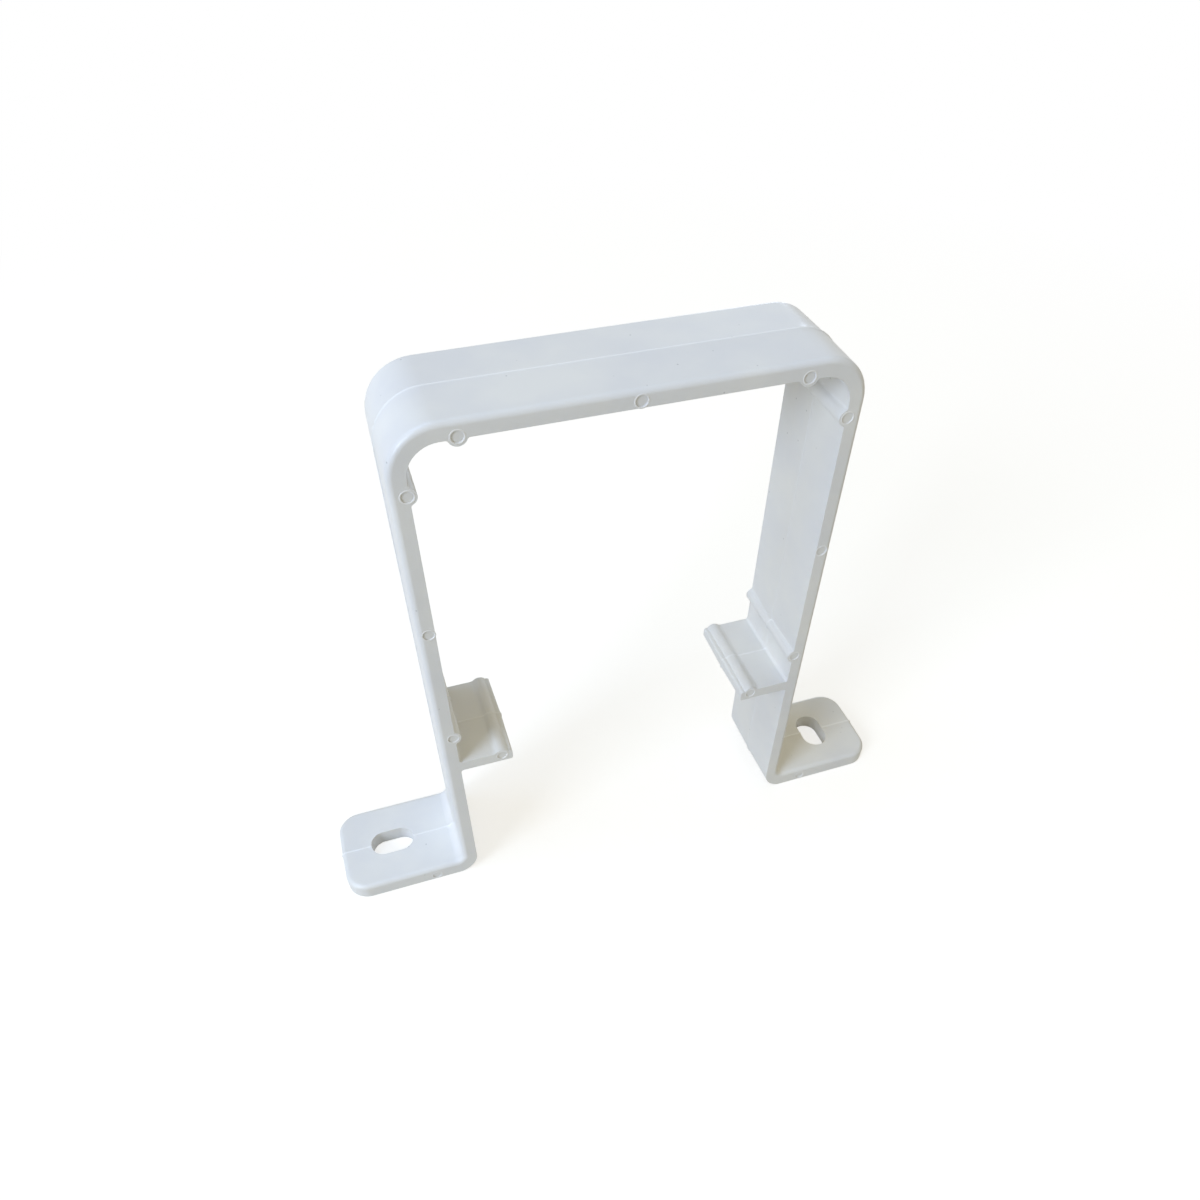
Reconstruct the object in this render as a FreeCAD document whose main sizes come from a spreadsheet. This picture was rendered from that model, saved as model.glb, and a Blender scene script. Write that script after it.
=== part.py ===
# Downpipe bracket: a one-piece moulded clip that holds a square rainwater downpipe off a wall.
# Frame: the wall plane is Z = 0 with the bracket standing on its lugs, X runs across the wall from
# lug to lug, Y runs along the pipe, and the origin is on the wall midway between the lugs.
# Sizes are millimetres and degrees, taken at the parting plane Y = 0, from which the faces have draft.

import FreeCAD, Part
import os
from enum import IntEnum

import Sketcher

NODE = "downpipe_bracket"

# Driving sizes
SIZES = {
    # The pipe, how far it stands off the wall, and its clearance to each bead
    "pipe_width": 65.0,
    "pipe_standoff": 37.0,
    "pipe_fit": 0.1,
    # Band over the pipe
    "wall_thickness": 3.1,
    "band_depth": 19.8,
    "corner_radius": 5.0,
    "draft_angle": 0.75,
    "edge_radius": 1.0,
    # Beads that touch the pipe: their height off the band and their distance from the pipe's middle
    "bead_radius": 1.45,
    "bead_height": 1.0,
    "bead_offset": 26.1,
    "bead_fillet": 0.5,
    # Lugs on the wall
    "lug_length": 24.3,
    "lug_thickness": 3.6,
    "lug_corner_radius": 4.5,
    "lug_fillet": 1.8,
    "foot_radius": 5.0,
    "foot_relief": 0.3,
    # Hooks behind the pipe, each with a bead near its end
    "hook_reach": 10.1,
    "hook_thickness": 2.5,
    "hook_bead_height": 0.6,
    "hook_bead_inset": 2.15,
    "hook_bead_fillet": 1.5,
    "hook_end_radius": 0.5,
    "hook_root_fillet": 0.6,
    # Screw slots, one across the wall and one along the pipe
    "slot_spacing": 100.5,
    "slot_length": 9.0,
    "slot_width": 5.6,
    # Dished marks that the mould's ejector pins leave on the front face
    "mark_diameter": 2.1,
    "mark_depth": 0.15,
    "mark_slope": 45.0,
    "mark_inset": 1.2,
    "lug_mark_offset": 6.0,
    "lug_mark_height": 1.25,
}

# Sizes worked out from the driving ones
DERIVED = {
    "half_depth": "band_depth / 2",
    "draft_loss": "half_depth * tan(draft_angle * 1 deg)",
    "pipe_centre": "pipe_standoff + pipe_width / 2",
    "bead_crest": "pipe_width / 2 + pipe_fit",
    "bead_axis": "bead_crest + bead_radius",
    "leg_inner": "bead_crest + bead_height",
    "leg_outer": "leg_inner + wall_thickness",
    "top_inner": "pipe_centre + leg_inner",
    "top_outer": "top_inner + wall_thickness",
    "outer_corner_radius": "corner_radius + wall_thickness",
    "lug_end": "leg_outer + lug_length",
    "foot_cut_reach": "lug_end + lug_thickness",
    "foot_cut_depth": "foot_relief + lug_thickness",
    "hook_top": "pipe_centre - bead_crest - hook_bead_height",
    "hook_bottom": "hook_top - hook_thickness",
    "hook_end": "leg_inner - hook_reach",
    "hook_root": "leg_inner + wall_thickness / 2",
    "hook_bead": "hook_end + hook_bead_inset",
    "hook_bead_root": "hook_bead + sqrt(bead_radius ^ 2 - (bead_radius - hook_bead_height) ^ 2)",
    "top_bead": "pipe_centre + bead_axis",
    "bottom_bead": "pipe_centre - bead_axis",
    "leg_bead_high": "pipe_centre + bead_offset",
    "leg_bead_low": "pipe_centre - bead_offset",
    "slot_place": "slot_spacing / 2",
    "slot_radius": "slot_width / 2",
    "slot_half_run": "(slot_length - slot_width) / 2",
    "slot_near": "slot_place - slot_half_run",
    "slot_far": "slot_place + slot_half_run",
    "slot_cut": "2 * (lug_thickness + lug_fillet)",
    "mark_radius": "mark_diameter / 2",
    "leg_mark": "leg_inner + mark_inset",
    "top_mark": "top_inner + mark_inset",
    "lug_mark": "leg_outer + lug_mark_offset",
}

# Sketch references: the sketch's axes, the origin that starts its level axis, and the points of a curve
LEVEL_AXIS, UPRIGHT_AXIS = IntEnum("Axis", {"LEVEL": -1, "UPRIGHT": -2})
ORIGIN = LEVEL_AXIS
START, END, CENTRE = IntEnum("Point", "START END CENTRE")
NORMAL = FreeCAD.Vector(0, 0, 1)
BOTH_SIDES = (-1, 1)
TOUCH = 0.01

doc = FreeCAD.newDocument("bracket")
sheet = doc.addObject("Spreadsheet::Sheet", "Sizes")
cells = {alias: str(number) for alias, number in SIZES.items()}
cells.update({alias: "=" + formula for alias, formula in DERIVED.items()})
for row, (alias, content) in enumerate(cells.items(), 1):
    sheet.set(f"A{row}", alias)
    sheet.set(f"B{row}", content)
    sheet.setAlias(f"B{row}", alias)
doc.recompute()

body = doc.addObject("PartDesign::Body", "Bracket")
body.Label = NODE


def size(alias):
    """A size of the sheet as a number."""
    return float(getattr(sheet, alias))


# How far the draft takes an edge from the size that places it
NEAR = size("draft_loss") + TOUCH


def new_sketch(name, role, offset=None):
    """A sketch on one of the body's origin planes, or moved off it along the plane's normal."""
    sketch = body.newObject("Sketcher::SketchObject", name)
    plane = next(feature for feature in body.Origin.OriginFeatures if feature.Role == role)
    sketch.AttachmentSupport = [(plane, "")]
    sketch.MapMode = "FlatFace"
    if offset:
        sketch.setExpression("AttachmentOffset.Base.z", f"Sizes.{offset}")
    return sketch


def dimension(sketch, kind, references, alias):
    """A driving dimension of a sketch, bound to a size of the sheet."""
    index = sketch.addConstraint(Sketcher.Constraint(kind, *references, size(alias)))
    name = f"{alias}_{index}"
    sketch.renameConstraint(index, name)
    sketch.setExpression(f"Constraints.{name}", f"Sizes.{alias}")


def place(sketch, axis, sign, alias, geometry, point):
    """Holds a point of the sketch at a size from the origin along one axis of the sketch."""
    kind = "DistanceX" if axis == "x" else "DistanceY"
    origin, held = (ORIGIN, START), (geometry, point)
    references = origin + held if sign > 0 else held + origin
    dimension(sketch, kind, references, alias)


def arc_between(sketch, middle, radius, begin, finish, anticlockwise):
    """An arc round a middle point, and which of its ends meets begin and which meets finish."""
    circle = Part.Circle(middle, NORMAL, radius)
    ends = (begin, finish) if anticlockwise else (finish, begin)
    arc = sketch.addGeometry(Part.ArcOfCircle(circle, *map(circle.parameter, ends)), False)
    return (arc, START, END) if anticlockwise else (arc, END, START)


def outline(sketch, sides):
    """A closed outline of upright and level sides in turn.

    Each side is the sketch axis that places it, its sign and size along that axis,
    and the size of the round on the corner after it, if it has one.
    """
    count = len(sides)
    corners = []
    for side, following in zip(sides, sides[1:] + sides[:1]):
        at = {axis: sign * size(alias) for axis, sign, alias, _ in (side, following)}
        corners.append(FreeCAD.Vector(at["x"], at["y"], 0))
    ways = [(corners[i] - corners[i - 1]).normalize() for i in range(count)]
    rounds = [size(side[3]) if side[3] else 0.0 for side in sides]
    lines = []
    for i, (axis, sign, alias, _) in enumerate(sides):
        begin = corners[i - 1] + ways[i] * rounds[i - 1]
        finish = corners[i] - ways[i] * rounds[i]
        line = sketch.addGeometry(Part.LineSegment(begin, finish), False)
        sketch.addConstraint(Sketcher.Constraint("Vertical" if axis == "x" else "Horizontal", line))
        place(sketch, axis, sign, alias, line, START)
        lines.append(line)
    for i, (_, _, _, radius) in enumerate(sides):
        line, following = lines[i], lines[(i + 1) % count]
        if not radius:
            sketch.addConstraint(Sketcher.Constraint("Coincident", line, END, following, START))
            continue
        back, on = ways[i] * rounds[i], ways[(i + 1) % count] * rounds[i]
        begin, finish, middle = corners[i] - back, corners[i] + on, corners[i] - back + on
        turns_left = back.cross(on).z > 0
        arc, first, last = arc_between(sketch, middle, rounds[i], begin, finish, turns_left)
        sketch.addConstraint(Sketcher.Constraint("Tangent", line, END, arc, first))
        sketch.addConstraint(Sketcher.Constraint("Tangent", arc, last, following, START))
        dimension(sketch, "Radius", (arc,), radius)


def disc(sketch, sign, across, up, radius):
    """A circle at two sizes from the origin, or on the upright axis if none is given across."""
    middle = FreeCAD.Vector(sign * size(across) if across else 0.0, size(up), 0)
    circle = sketch.addGeometry(Part.Circle(middle, NORMAL, size(radius)), False)
    if across:
        place(sketch, "x", sign, across, circle, CENTRE)
    else:
        sketch.addConstraint(Sketcher.Constraint("PointOnObject", circle, CENTRE, UPRIGHT_AXIS))
    place(sketch, "y", 1, up, circle, CENTRE)
    dimension(sketch, "Radius", (circle,), radius)


def obround(sketch, ends, run):
    """A slot between two end centres, near end first, with its straight sides along run."""
    reach = NORMAL.cross(run) * size("slot_radius")
    near, far = ends
    level = abs(run.x) > abs(run.y)
    lines = []
    for begin, finish in ((near - reach, far - reach), (far + reach, near + reach)):
        line = sketch.addGeometry(Part.LineSegment(begin, finish), False)
        sketch.addConstraint(Sketcher.Constraint("Horizontal" if level else "Vertical", line))
        lines.append(line)
    arcs = []
    for middle, way, line, following in ((far, 1, *lines), (near, -1, *reversed(lines))):
        ends_of_arc = (middle - reach * way, middle + reach * way)
        arc, first, last = arc_between(sketch, middle, size("slot_radius"), *ends_of_arc, True)
        sketch.addConstraint(Sketcher.Constraint("Tangent", line, END, arc, first))
        sketch.addConstraint(Sketcher.Constraint("Tangent", arc, last, following, START))
        arcs.append(arc)
    far_arc, near_arc = arcs
    dimension(sketch, "Radius", (far_arc,), "slot_radius")
    return near_arc, far_arc


def feature(kind, name, sketch, **properties):
    """A feature of the body made from a sketch, with its sizes bound to the sheet."""
    doc.recompute()
    made = body.newObject(f"PartDesign::{kind}", name)
    made.Profile = sketch
    made.SideType = properties.pop("SideType", "One side")
    for key, expression in properties.items():
        made.setExpression(key, expression)
    sketch.Visibility = False
    doc.recompute()
    return made


def drafted_pad(name, sketch):
    """Fills a sketch on the parting plane out to both faces of the band, narrowing with the draft."""
    feature("Pad", name, sketch, SideType="Two sides",
            Length="Sizes.half_depth", TaperAngle="-Sizes.draft_angle",
            Length2="Sizes.half_depth", TaperAngle2="-Sizes.draft_angle")


def cut(name, sketch, **properties):
    """A pocket that has to take material away."""
    before = body.Shape.Volume
    feature("Pocket", name, sketch, **properties)
    if not body.Shape.Volume < before:
        raise RuntimeError(f"{name} cuts nothing")


def edges_where(wanted):
    """Names of the body's edges that a test of their ends and middle picks out."""
    names = []
    for number, edge in enumerate(body.Shape.Edges, 1):
        middle = edge.valueAt((edge.FirstParameter + edge.LastParameter) / 2)
        if wanted([vertex.Point for vertex in edge.Vertexes], middle):
            names.append(f"Edge{number}")
    return names


def round_edges(name, wanted, radius):
    """Rounds the edges that a test picks out."""
    names = edges_where(wanted)
    if not names:
        raise RuntimeError(f"{name} finds no edge")
    base = body.Tip
    fillet = body.newObject("PartDesign::Fillet", name)
    fillet.Base = (base, names)
    fillet.setExpression("Radius", f"Sizes.{radius}")
    doc.recompute()


# Band: one wall from lug to lug over the pipe, with concentric corners
band_sketch = new_sketch("BandOutline", "XZ_Plane")
outline(band_sketch, [
    ("x", 1, "leg_inner", "corner_radius"),
    ("y", 1, "top_inner", "corner_radius"),
    ("x", -1, "leg_inner", "foot_radius"),
    ("y", -1, "foot_relief", None),
    ("x", -1, "lug_end", None),
    ("y", 1, "lug_thickness", "lug_fillet"),
    ("x", -1, "leg_outer", "outer_corner_radius"),
    ("y", 1, "top_outer", "outer_corner_radius"),
    ("x", 1, "leg_outer", "lug_fillet"),
    ("y", 1, "lug_thickness", None),
    ("x", 1, "lug_end", None),
    ("y", -1, "foot_relief", "foot_radius"),
])
drafted_pad("Band", band_sketch)

# Hooks: an arm in from each leg, behind the pipe
hook_sketch = new_sketch("HookOutline", "XZ_Plane")
for side in BOTH_SIDES:
    outline(hook_sketch, [
        ("x", side, "hook_root", None),
        ("y", 1, "hook_top", None),
        ("x", side, "hook_end", None),
        ("y", 1, "hook_bottom", None),
    ])
drafted_pad("Hooks", hook_sketch)

# Beads: one each side of every corner of the pipe, on the top bar, the legs and the hooks.
# They run straight, so that each touches the pipe along its whole length.
BAND_BEADS = [
    ("bead_offset", "top_bead"),
    ("bead_axis", "leg_bead_high"),
    ("bead_axis", "leg_bead_low"),
]
BEADS = BAND_BEADS + [("hook_bead", "bottom_bead")]
bead_sketch = new_sketch("BeadSections", "XZ_Plane")
for side in BOTH_SIDES:
    for across, up in BEADS:
        disc(bead_sketch, side, across, up, "bead_radius")
feature("Pad", "Beads", bead_sketch, SideType="Symmetric", Length="Sizes.band_depth")

# Wall face: the undersides of the lugs are flat, without draft
foot_sketch = new_sketch("WallFaceOutline", "XY_Plane")
outline(foot_sketch, [
    ("x", 1, "foot_cut_reach", None),
    ("y", 1, "half_depth", None),
    ("x", -1, "foot_cut_reach", None),
    ("y", -1, "half_depth", None),
])
cut("WallFace", foot_sketch, Length="Sizes.foot_cut_depth")


def along_pipe(ends):
    """An edge that runs along the pipe, from the parting plane to a face at least."""
    return abs(ends[0].y - ends[-1].y) > size("half_depth") - TOUCH


def on_hook(ends, middle, across, levels):
    """An edge of a hook that runs along the pipe, at this size across and at one of these levels."""
    at_level = any(abs(middle.z - size(level)) < NEAR for level in levels)
    return along_pipe(ends) and at_level and abs(abs(middle.x) - size(across)) < NEAR


def at_hook_end(ends, middle):
    """The edges above and below the end face of a hook."""
    return on_hook(ends, middle, "hook_end", ("hook_top", "hook_bottom"))


def at_hook_root(ends, middle):
    """The corners above and below a hook where it leaves its leg."""
    return on_hook(ends, middle, "leg_inner", ("hook_top", "hook_bottom"))


def at_hook_bead(ends, middle):
    """The corner between a hook's arm and its bead."""
    return on_hook(ends, middle, "hook_bead_root", ("hook_top",))


def at_bead_root(ends, middle):
    """The corners each side of a bead where it stands on the band."""
    on_band = abs(middle.x) > size("leg_inner") - TOUCH or middle.z > size("top_inner") - TOUCH
    reaches = [FreeCAD.Vector(abs(middle.x) - size(across), middle.z - size(up), 0).Length
               for across, up in BAND_BEADS]
    on_bead = any(abs(reach - size("bead_radius")) < TOUCH for reach in reaches)
    return along_pipe(ends) and on_band and on_bead


round_edges("HookEnds", at_hook_end, "hook_end_radius")
round_edges("HookRoots", at_hook_root, "hook_root_fillet")
round_edges("HookBeads", at_hook_bead, "hook_bead_fillet")
round_edges("BeadRoots", at_bead_root, "bead_fillet")


def at_lug_corner(ends, middle):
    """The upright edges at the free end of a lug, on the front and back faces."""
    upright = abs(ends[0].z - ends[-1].z) > size("lug_thickness") / 2
    at_face = abs(abs(middle.y) - size("half_depth")) < TOUCH
    return upright and at_face and abs(middle.x) > size("lug_end") - size("lug_thickness")


round_edges("LugCorners", at_lug_corner, "lug_corner_radius")


def on_outer_rim(ends, middle):
    """The edges round the outside of the band's two faces and round the top of each lug."""
    if min(point.z for point in ends) < size("lug_thickness") - NEAR:
        return False
    at_face = all(abs(abs(point.y) - size("half_depth")) < TOUCH for point in ends + [middle])
    lug_rim = abs(middle.x) > size("lug_end") - size("lug_corner_radius") - NEAR
    if lug_rim and abs(ends[0].y - ends[-1].y) > TOUCH:
        return True
    past_corner = FreeCAD.Vector(abs(middle.x) - size("leg_outer") + size("outer_corner_radius"),
                                 middle.z - size("top_outer") + size("outer_corner_radius"), 0)
    in_corner = min(past_corner.x, past_corner.y) > 0
    on_corner = in_corner and past_corner.Length > size("outer_corner_radius") - NEAR
    on_leg = abs(middle.x) > size("leg_outer") - NEAR
    on_top = middle.z > size("top_outer") - NEAR
    return at_face and (on_leg or on_top or on_corner)


round_edges("OuterEdges", on_outer_rim, "edge_radius")

# Slots: the left one runs across the wall and the right one along the pipe, to take up both errors
slot_sketch = new_sketch("SlotOutlines", "XY_Plane")
ACROSS, ALONG = FreeCAD.Vector(-1, 0, 0), FreeCAD.Vector(0, 1, 0)
left_ends = [ACROSS * size(alias) for alias in ("slot_near", "slot_far")]
near_arc, far_arc = obround(slot_sketch, left_ends, ACROSS)
place(slot_sketch, "x", -1, "slot_near", near_arc, CENTRE)
place(slot_sketch, "x", -1, "slot_far", far_arc, CENTRE)
slot_sketch.addConstraint(Sketcher.Constraint("PointOnObject", far_arc, CENTRE, LEVEL_AXIS))
right_middle = FreeCAD.Vector(size("slot_place"), 0, 0)
right_ends = [right_middle + ALONG * (sign * size("slot_half_run")) for sign in BOTH_SIDES]
near_arc, far_arc = obround(slot_sketch, right_ends, ALONG)
place(slot_sketch, "y", -1, "slot_half_run", near_arc, CENTRE)
place(slot_sketch, "y", 1, "slot_half_run", far_arc, CENTRE)
place(slot_sketch, "x", 1, "slot_place", far_arc, CENTRE)
cut("Slots", slot_sketch, SideType="Symmetric", Length="Sizes.slot_cut")

# Ejector marks: on the end of every bead, and on the plain stretches between them
mark_sketch = new_sketch("MarkOutlines", "XZ_Plane", offset="half_depth")
disc(mark_sketch, 1, None, "top_mark", "mark_radius")
for side in BOTH_SIDES:
    for across, up in BEADS + [("leg_mark", "pipe_centre"), ("lug_mark", "lug_mark_height")]:
        disc(mark_sketch, side, across, up, "mark_radius")
cut("EjectorMarks", mark_sketch, Length="Sizes.mark_depth", TaperAngle="-Sizes.mark_slope")

# Every feature has to be sound before the shape is written
failed = [item.Label for item in doc.Objects if {"Invalid", "Error"} & set(item.State)]
if failed:
    raise RuntimeError(f"failed features: {failed}")
shape = body.Shape
if shape.isNull() or not shape.isValid() or len(shape.Solids) != 1:
    raise RuntimeError("the bracket is not one valid solid")
os.makedirs("parts", exist_ok=True)
shape.exportStep(f"parts/{body.Label}.step")
print(f"{body.Label}: {shape.Volume:.1f} cubic mm, {len(shape.Faces)} faces")
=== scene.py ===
"""Downpipe bracket: a white moulded clip for a square rainwater pipe, standing on a plain white floor."""

import math

import bmesh
import bpy
from mathutils import Matrix, Vector


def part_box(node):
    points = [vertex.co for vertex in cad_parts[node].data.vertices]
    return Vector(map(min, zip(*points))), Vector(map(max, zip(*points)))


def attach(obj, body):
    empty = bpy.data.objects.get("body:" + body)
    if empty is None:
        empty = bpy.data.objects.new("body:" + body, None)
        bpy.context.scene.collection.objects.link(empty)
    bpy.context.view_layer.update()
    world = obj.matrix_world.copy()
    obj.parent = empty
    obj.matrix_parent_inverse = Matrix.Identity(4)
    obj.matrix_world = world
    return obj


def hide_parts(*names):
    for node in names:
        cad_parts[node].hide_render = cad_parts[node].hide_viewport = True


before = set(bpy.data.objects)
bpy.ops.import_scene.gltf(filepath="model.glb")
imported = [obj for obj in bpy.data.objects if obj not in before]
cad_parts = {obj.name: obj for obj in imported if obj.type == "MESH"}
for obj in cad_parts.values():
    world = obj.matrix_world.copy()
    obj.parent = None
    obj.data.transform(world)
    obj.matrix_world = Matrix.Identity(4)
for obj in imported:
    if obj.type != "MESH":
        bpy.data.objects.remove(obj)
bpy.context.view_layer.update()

MM = 0.001

# The bracket as it stands in the frame
NODE = "downpipe_bracket"
LOW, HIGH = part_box(NODE)
FRONT = LOW.y

# Places nearer than the first touch, and after the union only points nearer than the second are merged
TOUCH = 0.002 * MM
SAME_POINT = 0.0003 * MM

# Parting flash, the thin ridge where the two halves of the mould met, round the middle of the band
FLASH_WIDTH = 0.5 * MM
FLASH_HEIGHT = 0.14 * MM

# Lips that the ejector pins left round their dished marks on the front face
MARK_DEPTH = 0.15 * MM
MARK_RADIUS = 1.05 * MM
MARK_FACING = -0.999
LIP_THICKNESS = 0.26 * MM
LIP_HEIGHT = 0.04 * MM
LIP_STEPS_ROUND = 40
LIP_STEPS_ACROSS = 12

# Faces that meet at less than the first angle are one flat face, and at more than the second show an edge
FLAT_ANGLE = math.radians(0.3)
EDGE_ANGLE = math.radians(35)

# The plastic: its body drifts between two tones, in clouds of this many millimetres, duller where paler
BODY_COLOURS = ("#E3E4E6", "#ECECEA")
BODY_ROUGHNESS = (0.36, 0.44)
BODY_IOR = 1.53
CLOUD_LENGTH = 14
CLOUD_DETAIL = 3.0
CLOUD_ROUGHNESS = 0.5
CLOUD_LIMITS = (0.35, 0.65)

# Painted highlights, a whiter colour where raised plastic would catch the light: on the flash, over shares
# of its width and as far as it faces up, and on the lips
HIGHLIGHT_COLOUR = "#F8F8F8"
FLASH_HIGHLIGHT = 0.6
FLASH_HIGHLIGHT_FADE = (0.6, 0.2)
FLASH_HIGHLIGHT_FACING = (0.2, 0.75)
LIP_HIGHLIGHT = 0.55
LIP_HIGHLIGHT_FADE = 0.5

# Specks of dark grit, in millimetres, each darkest over this share of its radius
SPECK_COLOUR = "#7C8082"
SPECK_DARKNESS = 0.45
SPECK_SPACING = 3.6
SPECK_RADIUS = 0.2
SPECK_CORE = 0.3

# The fine grain of the mould, as long as this in millimetres
GRAIN_LENGTH = 0.5
GRAIN_DETAIL = 2.0
GRAIN_ROUGHNESS = 0.6
GRAIN_HEIGHT = 0.02 * MM
GRAIN_STRENGTH = 0.15

# The camera, fitted to the bracket's edges in the photograph
CAMERA_EYE = Vector((-40.9, -117.3, 169.9)) * MM
CAMERA_AIM = Vector((10.06, 26.98, 0.0)) * MM
CAMERA_ROLL = math.radians(1.06)
CAMERA_SENSOR = 36
CAMERA_LENS = 27.14
CAMERA_SHIFT = (-0.0138, 0.0828)
CAMERA_NEAREST = 5 * MM

# Light: a broad cool lamp low on the left, one overhead, a weak one low behind, and an even warm glow
KEY_PLACE = Vector((-985, -570, 630)) * MM
KEY_SIZE = 480 * MM
KEY_WATTS = 9.4
KEY_COLOUR = "#DAE8FF"
TOP_PLACE = Vector((-445, 0, 1220)) * MM
TOP_SIZE = 600 * MM
TOP_WATTS = 5.3
TOP_COLOUR = "#A0C8FF"
BACK_PLACE = Vector((600, 1120, 100)) * MM
BACK_SIZE = 300 * MM
BACK_WATTS = 2.0
BACK_COLOUR = "#D6E6FF"
GLOW_COLOUR = "#FFF4D0"
GLOW_STRENGTH = 0.462

# Floor: pale paper, lifted by a glow where the eye sees it, that fades to plain white between two distances
WHITE = "#FFFFFF"
FLOOR_SIZE = 6.0
FLOOR_COLOUR = "#B8B6B0"
FLOOR_GLOW = 0.67
FLOOR_NEAR = 150 * MM
FLOOR_FAR = 400 * MM


def linear(code):
    """A colour written as sRGB hex, as the linear values that a shader takes."""
    parts = [int(code[place:place + 2], 16) / 255 for place in (1, 3, 5)]
    return [part / 12.92 if part <= 0.04045 else ((part + 0.055) / 1.055) ** 2.4 for part in parts] + [1.0]


def per_metre(millimetres):
    """The scale that makes one cell of a pattern this long."""
    return 1000 / millimetres


def add_node(tree, kind, inputs=None, **settings):
    """Adds a node with its settings, its plain values and its links from other nodes' outputs."""
    made = tree.nodes.new(kind)
    for name, value in settings.items():
        setattr(made, name, value)
    for name, value in (inputs or {}).items():
        if isinstance(value, bpy.types.NodeSocket):
            tree.links.new(value, made.inputs[name])
        else:
            made.inputs[name].default_value = value
    return made


def combine(tree, operation, first, second):
    """One number made of two, by a named operation."""
    return add_node(tree, "ShaderNodeMath", {0: first, 1: second}, operation=operation).outputs["Value"]


def ramp(tree, value, begin, end, low=0.0, high=1.0):
    """A number that goes from low to high as the value goes from begin to end, and no further."""
    made = add_node(tree, "ShaderNodeMapRange",
                    {"Value": value, "From Min": begin, "From Max": end, "To Min": low, "To Max": high})
    return made.outputs["Result"]


def blend(tree, share, first, second):
    """A colour between two, by the share of the second."""
    made = add_node(tree, "ShaderNodeMix", {"Factor": share, "A": first, "B": second}, data_type="RGBA")
    return made.outputs["Result"]


def new_material(name):
    """An empty material with its tree, ready for nodes."""
    material = bpy.data.materials.new(name)
    material.use_nodes = True
    material.node_tree.nodes.clear()
    return material, material.node_tree


def white_upvc():
    """White uPVC, injection moulded: opaque and even, half glossy, with a faint grain, odd specks, and
    painted highlights on the flash and lips.
    """
    material, tree = new_material("white_upvc_moulded")
    place = add_node(tree, "ShaderNodeTexCoord").outputs["Object"]

    noise = add_node(tree, "ShaderNodeTexNoise",
                     {"Vector": place, "Scale": per_metre(CLOUD_LENGTH), "Detail": CLOUD_DETAIL,
                      "Roughness": CLOUD_ROUGHNESS})
    cloud = ramp(tree, noise.outputs["Fac"], *CLOUD_LIMITS)
    tint = blend(tree, cloud, *map(linear, BODY_COLOURS))

    # Painted highlights: a whiter colour on the flash where it faces up, and on the lips where they stand
    # off the front
    across = add_node(tree, "ShaderNodeSeparateXYZ", {"Vector": place}).outputs["Y"]
    away = add_node(tree, "ShaderNodeMath", {0: across}, operation="ABSOLUTE").outputs["Value"]
    ridge = ramp(tree, away, *(share * FLASH_WIDTH for share in FLASH_HIGHLIGHT_FADE))
    facing = add_node(tree, "ShaderNodeNewGeometry").outputs["Normal"]
    upright = add_node(tree, "ShaderNodeSeparateXYZ", {"Vector": facing}).outputs["Z"]
    flash_highlight = combine(tree, "MULTIPLY", ridge, ramp(tree, upright, *FLASH_HIGHLIGHT_FACING, high=FLASH_HIGHLIGHT))
    lip_highlight = ramp(tree, across, FRONT, FRONT - LIP_HIGHLIGHT_FADE * LIP_HEIGHT, high=LIP_HIGHLIGHT)
    tint_and_highlights = blend(tree, combine(tree, "MAXIMUM", flash_highlight, lip_highlight), tint, linear(HIGHLIGHT_COLOUR))

    # Dark grains shut in the plastic, which show as specks where the surface cuts them
    grains = add_node(tree, "ShaderNodeTexVoronoi", {"Vector": place, "Scale": per_metre(SPECK_SPACING)})
    speck = ramp(tree, grains.outputs["Distance"], SPECK_RADIUS / SPECK_SPACING,
                 SPECK_CORE * SPECK_RADIUS / SPECK_SPACING, high=SPECK_DARKNESS)
    body = blend(tree, speck, tint_and_highlights, linear(SPECK_COLOUR))

    grain = add_node(tree, "ShaderNodeTexNoise",
                     {"Vector": place, "Scale": per_metre(GRAIN_LENGTH), "Detail": GRAIN_DETAIL,
                      "Roughness": GRAIN_ROUGHNESS})
    bump = add_node(tree, "ShaderNodeBump",
                    {"Height": grain.outputs["Fac"], "Strength": GRAIN_STRENGTH, "Distance": GRAIN_HEIGHT})
    rough = ramp(tree, cloud, 0.0, 1.0, *BODY_ROUGHNESS)
    shader = add_node(tree, "ShaderNodeBsdfPrincipled",
                      {"Base Color": body, "Roughness": rough, "Normal": bump.outputs["Normal"],
                       "IOR": BODY_IOR})
    add_node(tree, "ShaderNodeOutputMaterial", {"Surface": shader.outputs["BSDF"]})
    return material


def edit(piece):
    """Opens one piece alone in edit mode, with all of it selected."""
    bpy.ops.object.select_all(action="DESELECT")
    bpy.context.view_layer.objects.active = piece
    piece.select_set(True)
    bpy.ops.object.mode_set(mode="EDIT")
    bpy.ops.mesh.select_mode(type="VERT")
    bpy.ops.mesh.select_all(action="SELECT")


def choose(piece, wanted):
    """Selects the points of the piece in edit mode whose place passes a test."""
    bpy.ops.mesh.select_all(action="DESELECT")
    shape = bmesh.from_edit_mesh(piece.data)
    for point in shape.verts:
        point.select_set(wanted(point.co))
    shape.select_flush_mode()
    bmesh.update_edit_mesh(piece.data)


def apply(piece, kind, **settings):
    """Adds a modifier to the piece and applies it."""
    modifier = piece.modifiers.new(kind.lower(), kind)
    for name, value in settings.items():
        setattr(modifier, name, value)
    bpy.context.view_layer.objects.active = piece
    bpy.ops.object.modifier_apply(modifier=modifier.name)


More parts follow.
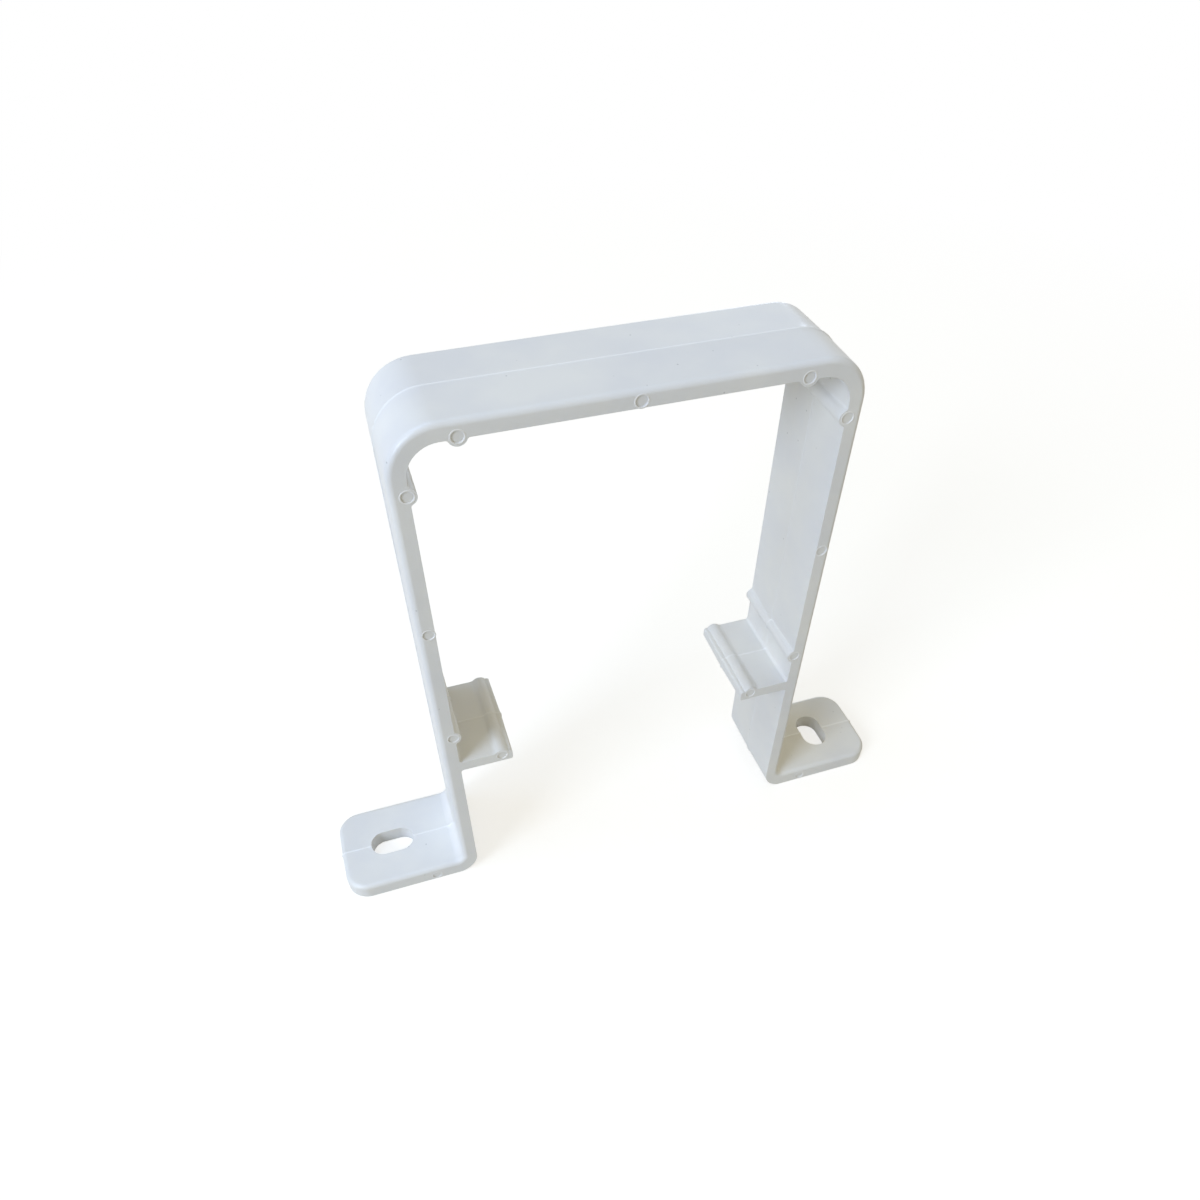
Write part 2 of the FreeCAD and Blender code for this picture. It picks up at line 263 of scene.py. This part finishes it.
def mark_centres(piece):
    """The middles of the dished marks, found from the flat faces of their floors."""
    depth = FRONT + MARK_DEPTH
    groups = []
    for face in piece.data.polygons:
        if abs(face.center.y - depth) > TOUCH or face.normal.y > MARK_FACING:
            continue
        points = [piece.data.vertices[index].co.copy() for index in face.vertices]
        near = [group for group in groups if (group[0] - points[0]).length < 2 * MARK_RADIUS]
        if near:
            near[0].extend(points)
        else:
            groups.append(points)
    middles = []
    for group in groups:
        across = [point.x for point in group]
        up = [point.z for point in group]
        middles.append(Vector(((min(across) + max(across)) / 2, FRONT, (min(up) + max(up)) / 2)))
    return middles


def lip(centre):
    """One raised lip: a flattened ring on the front face."""
    bpy.ops.object.select_all(action="DESELECT")
    bpy.ops.mesh.primitive_torus_add(major_segments=LIP_STEPS_ROUND, minor_segments=LIP_STEPS_ACROSS,
                                     major_radius=MARK_RADIUS, minor_radius=LIP_THICKNESS / 2,
                                     location=centre, rotation=(math.pi / 2, 0, 0))
    ring = bpy.context.active_object
    ring.scale.z = 2 * LIP_HEIGHT / LIP_THICKNESS
    bpy.ops.object.transform_apply(location=True, rotation=True, scale=True)
    return ring


def moulding():
    """The bracket: its solid as one closed smooth mesh, with the flash and lips that the mould left."""
    piece = bpy.data.objects.new("moulding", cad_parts[NODE].data.copy())
    bpy.context.scene.collection.objects.link(piece)

    # Clean flat faces first, and then the flash, drawn out from cuts either side of the parting plane
    edit(piece)
    bpy.ops.mesh.customdata_custom_splitnormals_clear()
    bpy.ops.mesh.remove_doubles(threshold=TOUCH)
    bpy.ops.mesh.dissolve_limited(angle_limit=FLAT_ANGLE)
    for side in (-1, 0, 1):
        bpy.ops.mesh.select_all(action="SELECT")
        bpy.ops.mesh.bisect(plane_co=(0, side * FLASH_WIDTH / 2, 0), plane_no=(0, 1, 0))
    choose(piece, lambda place: abs(place.y) < TOUCH and place.z > TOUCH)
    bpy.ops.transform.shrink_fatten(value=FLASH_HEIGHT)
    bpy.ops.object.mode_set(mode="OBJECT")

    # The lips, joined as one and made part of the moulding
    rings = [lip(centre) for centre in mark_centres(piece)]
    for ring in rings:
        ring.select_set(True)
    bpy.context.view_layer.objects.active = rings[0]
    bpy.ops.object.join()
    lips = bpy.context.active_object
    apply(piece, "BOOLEAN", operation="UNION", solver="EXACT", object=lips)
    bpy.data.objects.remove(lips)

    edit(piece)
    bpy.ops.mesh.remove_doubles(threshold=SAME_POINT)
    bpy.ops.object.mode_set(mode="OBJECT")
    bpy.ops.object.shade_smooth_by_angle(angle=EDGE_ANGLE)
    apply(piece, "WEIGHTED_NORMAL", keep_sharp=True)

    piece.data.materials.clear()
    piece.data.materials.append(white_upvc())
    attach(piece, "root")
    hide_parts(NODE)


def in_sight(tree):
    """One where the eye sees a surface, straight, reflected or through glass, and nought elsewhere."""
    path = add_node(tree, "ShaderNodeLightPath")
    seen = path.outputs["Is Camera Ray"]
    for way in ("Is Glossy Ray", "Is Transmission Ray"):
        seen = combine(tree, "MAXIMUM", seen, path.outputs[way])
    return seen


def floor():
    """A wide floor that throws light back: to the eye it is white, with the bracket's shadow close by it."""
    bpy.ops.mesh.primitive_plane_add(size=FLOOR_SIZE, location=(0, 0, LOW.z - TOUCH))
    plane = bpy.context.active_object
    plane.name = "floor"
    material, tree = new_material("white_paper")
    seen = in_sight(tree)
    paper = add_node(tree, "ShaderNodeBsdfDiffuse", {"Color": linear(FLOOR_COLOUR)})
    lift = combine(tree, "MULTIPLY", seen, FLOOR_GLOW)
    glow = add_node(tree, "ShaderNodeEmission", {"Color": linear(WHITE), "Strength": lift})
    close = add_node(tree, "ShaderNodeAddShader", {0: paper.outputs["BSDF"], 1: glow.outputs["Emission"]})
    white = add_node(tree, "ShaderNodeEmission", {"Color": linear(WHITE), "Strength": 1.0})
    place = add_node(tree, "ShaderNodeTexCoord").outputs["Object"]
    away = add_node(tree, "ShaderNodeVectorMath", {0: place}, operation="LENGTH").outputs["Value"]
    share = combine(tree, "MULTIPLY", seen, ramp(tree, away, FLOOR_NEAR, FLOOR_FAR))
    mixed = add_node(tree, "ShaderNodeMixShader",
                     {"Fac": share, 1: close.outputs["Shader"], 2: white.outputs["Emission"]})
    add_node(tree, "ShaderNodeOutputMaterial", {"Surface": mixed.outputs["Shader"]})
    plane.data.materials.append(material)


def lamp(name, place, size, watts, colour):
    """A square soft lamp that looks at the middle of the bracket."""
    light = bpy.data.lights.new(name, "AREA")
    light.size = size
    light.energy = watts
    light.color = linear(colour)[:3]
    holder = bpy.data.objects.new(name, light)
    holder.location = place
    holder.rotation_euler = ((LOW + HIGH) / 2 - place).to_track_quat("-Z", "Y").to_euler()
    holder.visible_camera = False
    bpy.context.scene.collection.objects.link(holder)


def surroundings():
    """An even warm glow that lights the shadows, and plain white to the eye and in reflections."""
    world = bpy.data.worlds.new("surroundings")
    bpy.context.scene.world = world
    world.use_nodes = True
    tree = world.node_tree
    tree.nodes.clear()
    glow = add_node(tree, "ShaderNodeBackground", {"Color": linear(GLOW_COLOUR), "Strength": GLOW_STRENGTH})
    white = add_node(tree, "ShaderNodeBackground", {"Color": linear(WHITE), "Strength": 1.0})
    mixed = add_node(tree, "ShaderNodeMixShader",
                     {"Fac": in_sight(tree), 1: glow.outputs["Background"], 2: white.outputs["Background"]})
    add_node(tree, "ShaderNodeOutputWorld", {"Surface": mixed.outputs["Shader"]})


def camera():
    """The photograph's view."""
    lens = bpy.data.cameras.new("camera")
    lens.sensor_width = CAMERA_SENSOR
    lens.lens = CAMERA_LENS
    lens.shift_x, lens.shift_y = CAMERA_SHIFT
    lens.clip_start = CAMERA_NEAREST
    holder = bpy.data.objects.new("camera", lens)
    level = (CAMERA_AIM - CAMERA_EYE).to_track_quat("-Z", "Y").to_matrix().to_4x4()
    holder.matrix_world = Matrix.Translation(CAMERA_EYE) @ level @ Matrix.Rotation(CAMERA_ROLL, 4, "Z")
    bpy.context.scene.collection.objects.link(holder)
    bpy.context.scene.camera = holder


moulding()
floor()
lamp("key", KEY_PLACE, KEY_SIZE, KEY_WATTS, KEY_COLOUR)
lamp("top", TOP_PLACE, TOP_SIZE, TOP_WATTS, TOP_COLOUR)
lamp("back", BACK_PLACE, BACK_SIZE, BACK_WATTS, BACK_COLOUR)
surroundings()
camera()
bpy.context.scene.view_settings.view_transform = "Standard"
